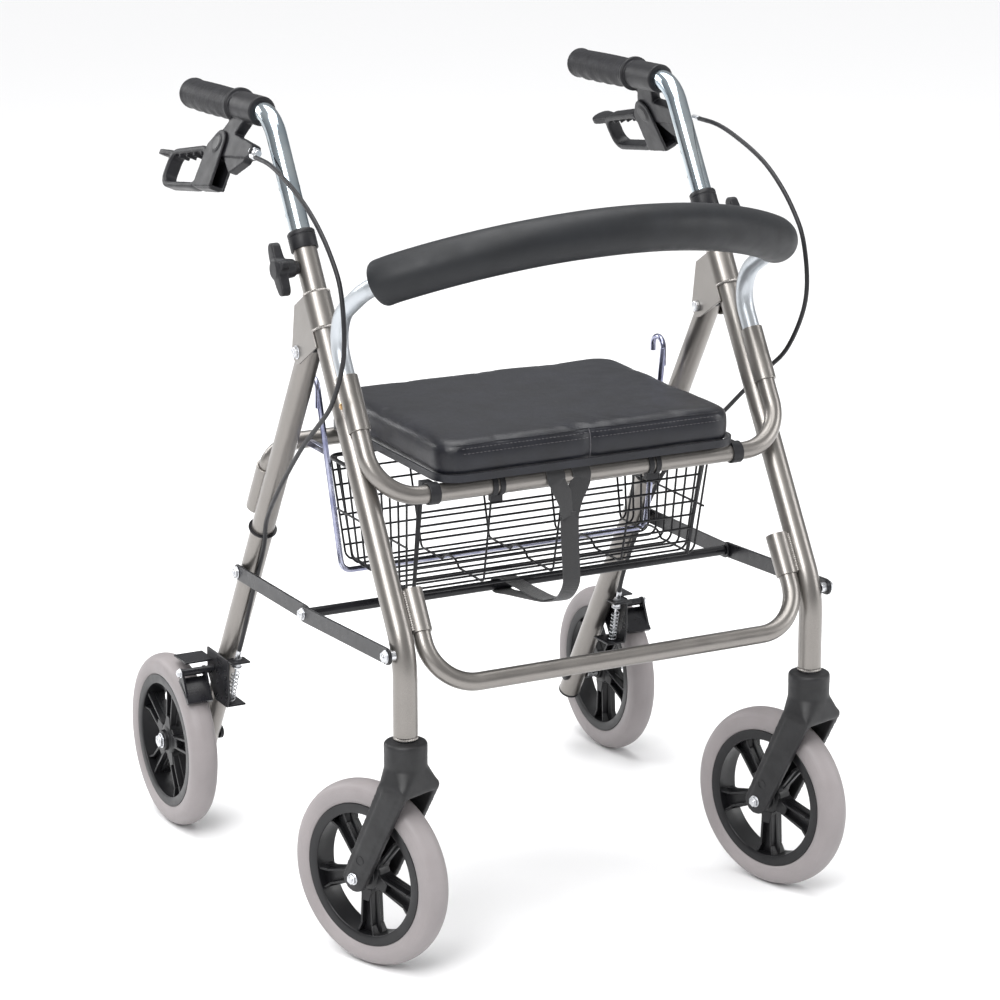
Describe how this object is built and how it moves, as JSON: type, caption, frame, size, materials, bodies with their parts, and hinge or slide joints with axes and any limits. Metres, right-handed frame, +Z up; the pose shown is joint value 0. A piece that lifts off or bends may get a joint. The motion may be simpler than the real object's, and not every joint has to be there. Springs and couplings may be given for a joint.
{
  "type": "rollator walker",
  "caption": "Folding rollator walker with a padded seat, wire basket, curved foam backrest, swivel front casters and cable-braked rear wheels.",
  "frame": {"origin": "on the floor under the middle of the bounding box", "axes": "+Z up, +X across to the right-hand side seen from the front, -Y towards the front casters and backrest, +Y towards the handles"},
  "size_m": [0.6141, 0.6729, 0.8682],
  "materials": {
    "frame_paint": "satin",
    "chrome": "polished",
    "zinc": "satin",
    "black_plastic": "satin",
    "black_steel": "satin",
    "bar_grey": "satin",
    "tyre_grey": "matte",
    "foam": "matte",
    "vinyl": "satin",
    "board": "matte",
    "webbing": "matte",
    "basket_wire": "satin"
  },
  "bodies": {
    "front_frame": {"seat_front_tube": "frame_paint", "lower_cross_tube": "frame_paint", "backrest_bar": "bar_grey", "backrest_foam": "foam", "pull_strap": "webbing", "front_leg_left": "frame_paint", "fold_bracket_left": "frame_paint", "leg_collar_left": "black_plastic", "fold_pivot_bolt_left": "zinc", "link_bolt_front_left": "zinc", "brake_cable_left": "black_plastic", "front_leg_right": "frame_paint", "fold_bracket_right": "frame_paint", "leg_collar_right": "black_plastic", "fold_pivot_bolt_right": "zinc", "link_bolt_front_right": "zinc", "brake_cable_right": "black_plastic"},
    "rear_frame": {"rear_seat_tube": "frame_paint", "basket_bail": "chrome", "rear_leg_left": "frame_paint", "rear_axle_left": "zinc", "link_bolt_rear_left": "zinc", "brake_bracket_left": "black_steel", "rear_leg_right": "frame_paint", "rear_axle_right": "zinc", "link_bolt_rear_right": "zinc", "brake_bracket_right": "black_steel"},
    "rear_links": {"cross_rod": "black_steel", "rear_link_left": "black_steel", "rear_link_right": "black_steel"},
    "front_links": {"front_link_left": "black_steel", "front_link_right": "black_steel"},
    "basket": {"basket": "basket_wire"},
    "seat": {"seat_pad": "vinyl", "seat_board": "board", "seat_hinge": "black_plastic"},
    "caster_left": {"caster_left_fork": "black_plastic", "caster_left_axle": "zinc"},
    "caster_wheel_left": {"caster_left_tyre": "tyre_grey", "caster_left_rim": "black_plastic"},
    "rear_wheel_left": {"rear_left_tyre": "tyre_grey", "rear_left_rim": "black_plastic"},
    "handle_left": {"handle_tube_left": "chrome", "handle_grip_left": "black_plastic", "brake_housing_left": "black_plastic"},
    "lever_left": {"brake_lever_left": "black_plastic"},
    "shoe_left": {"brake_shoe_left": "black_steel"},
    "knob_left": {"height_knob_left": "black_plastic"},
    "caster_right": {"caster_right_fork": "black_plastic", "caster_right_axle": "zinc"},
    "caster_wheel_right": {"caster_right_tyre": "tyre_grey", "caster_right_rim": "black_plastic"},
    "rear_wheel_right": {"rear_right_tyre": "tyre_grey", "rear_right_rim": "black_plastic"},
    "handle_right": {"handle_tube_right": "chrome", "handle_grip_right": "black_plastic", "brake_housing_right": "black_plastic"},
    "lever_right": {"brake_lever_right": "black_plastic"},
    "shoe_right": {"brake_shoe_right": "black_steel"},
    "knob_right": {"height_knob_right": "black_plastic"}
  },
  "joints": [
    {"name": "fold", "type": "hinge", "parent": "front_frame", "child": "rear_frame", "pos_m": [0, -0.0626, 0.6158], "axis": [-1, 0, 0], "range_deg": [0, 27], "deforming": ["pull_strap", "brake_cable_left", "brake_cable_right"]},
    {"name": "rear_links_turn", "type": "hinge", "parent": "rear_frame", "child": "rear_links", "pos_m": [0, 0.1029, 0.3325], "axis": [-1, 0, 0], "range_deg": [0, 40.6]},
    {"name": "front_links_turn", "type": "hinge", "parent": "front_frame", "child": "front_links", "pos_m": [0, -0.284, 0.3475], "axis": [1, 0, 0], "range_deg": [0, 35.8]},
    {"name": "basket_out", "type": "slide", "parent": "front_frame", "child": "basket", "axis": [0, -1, 0], "range_m": [0, 0.7]},
    {"name": "seat_tip", "type": "hinge", "parent": "front_frame", "child": "seat", "pos_m": [0, -0.22247, 0.49275], "axis": [1, 0, 0], "range_deg": [0, 75]},
    {"name": "caster_swivel_left", "type": "hinge", "parent": "front_frame", "child": "caster_left", "pos_m": [-0.242, -0.2845, 0.25], "axis": [0, 0, 1], "continuous": true},
    {"name": "caster_spin_left", "type": "hinge", "parent": "caster_left", "child": "caster_wheel_left", "pos_m": [-0.26012, -0.23897, 0.1], "axis": [0.9291, 0.3698, 0], "continuous": true},
    {"name": "rear_spin_left", "type": "hinge", "parent": "rear_frame", "child": "rear_wheel_left", "pos_m": [-0.2843, 0.2387, 0.1], "axis": [1, 0, 0], "continuous": true},
    {"name": "handle_height_left", "type": "slide", "parent": "front_frame", "child": "handle_left", "axis": [0, 0.524, 0.8517], "range_m": [-0.075, 0.05]},
    {"name": "lever_squeeze_left", "type": "hinge", "parent": "handle_left", "child": "lever_left", "pos_m": [-0.26108, 0.10745, 0.80706], "axis": [0.91, -0.0152, -0.4144], "range_deg": [0, 12], "stiffness_Nm_per_rad": 0.6, "springref_deg": -8.59},
    {"name": "shoe_press_left", "type": "hinge", "parent": "rear_frame", "child": "shoe_left", "pos_m": [-0.279, 0.178, 0.199], "axis": [1, 0, 0], "range_deg": [0, 3.1]},
    {"name": "knob_turn_left", "type": "hinge", "parent": "front_frame", "child": "knob_left", "pos_m": [-0.262, -0.06348, 0.70576], "axis": [1, 0, 0], "continuous": true},
    {"name": "caster_swivel_right", "type": "hinge", "parent": "front_frame", "child": "caster_right", "pos_m": [0.242, -0.2845, 0.25], "axis": [0, 0, 1], "continuous": true},
    {"name": "caster_spin_right", "type": "hinge", "parent": "caster_right", "child": "caster_wheel_right", "pos_m": [0.22776, -0.23762, 0.1], "axis": [0.9568, 0.2907, 0], "continuous": true},
    {"name": "rear_spin_right", "type": "hinge", "parent": "rear_frame", "child": "rear_wheel_right", "pos_m": [0.2843, 0.2387, 0.1], "axis": [1, 0, 0], "continuous": true},
    {"name": "handle_height_right", "type": "slide", "parent": "front_frame", "child": "handle_right", "axis": [0, 0.524, 0.8517], "range_m": [-0.075, 0.05]},
    {"name": "lever_squeeze_right", "type": "hinge", "parent": "handle_right", "child": "lever_right", "pos_m": [0.26108, 0.10745, 0.80706], "axis": [0.91, 0.0152, 0.4144], "range_deg": [0, 12], "stiffness_Nm_per_rad": 0.6, "springref_deg": -8.59},
    {"name": "shoe_press_right", "type": "hinge", "parent": "rear_frame", "child": "shoe_right", "pos_m": [0.279, 0.178, 0.199], "axis": [1, 0, 0], "range_deg": [0, 3.1]},
    {"name": "knob_turn_right", "type": "hinge", "parent": "front_frame", "child": "knob_right", "pos_m": [0.262, -0.06348, 0.70576], "axis": [1, 0, 0], "continuous": true}
  ],
  "couplings": [
    {"joint": "rear_links_turn", "follows": "fold", "ratio": 1.5004},
    {"joint": "front_links_turn", "follows": "fold", "ratio": 1.323},
    {"joint": "basket_out", "follows": "fold", "m_per_rad": 1.485},
    {"joint": "shoe_press_left", "follows": "lever_squeeze_left", "ratio": 0.25},
    {"joint": "shoe_press_right", "follows": "lever_squeeze_right", "ratio": 0.25}
  ]
}
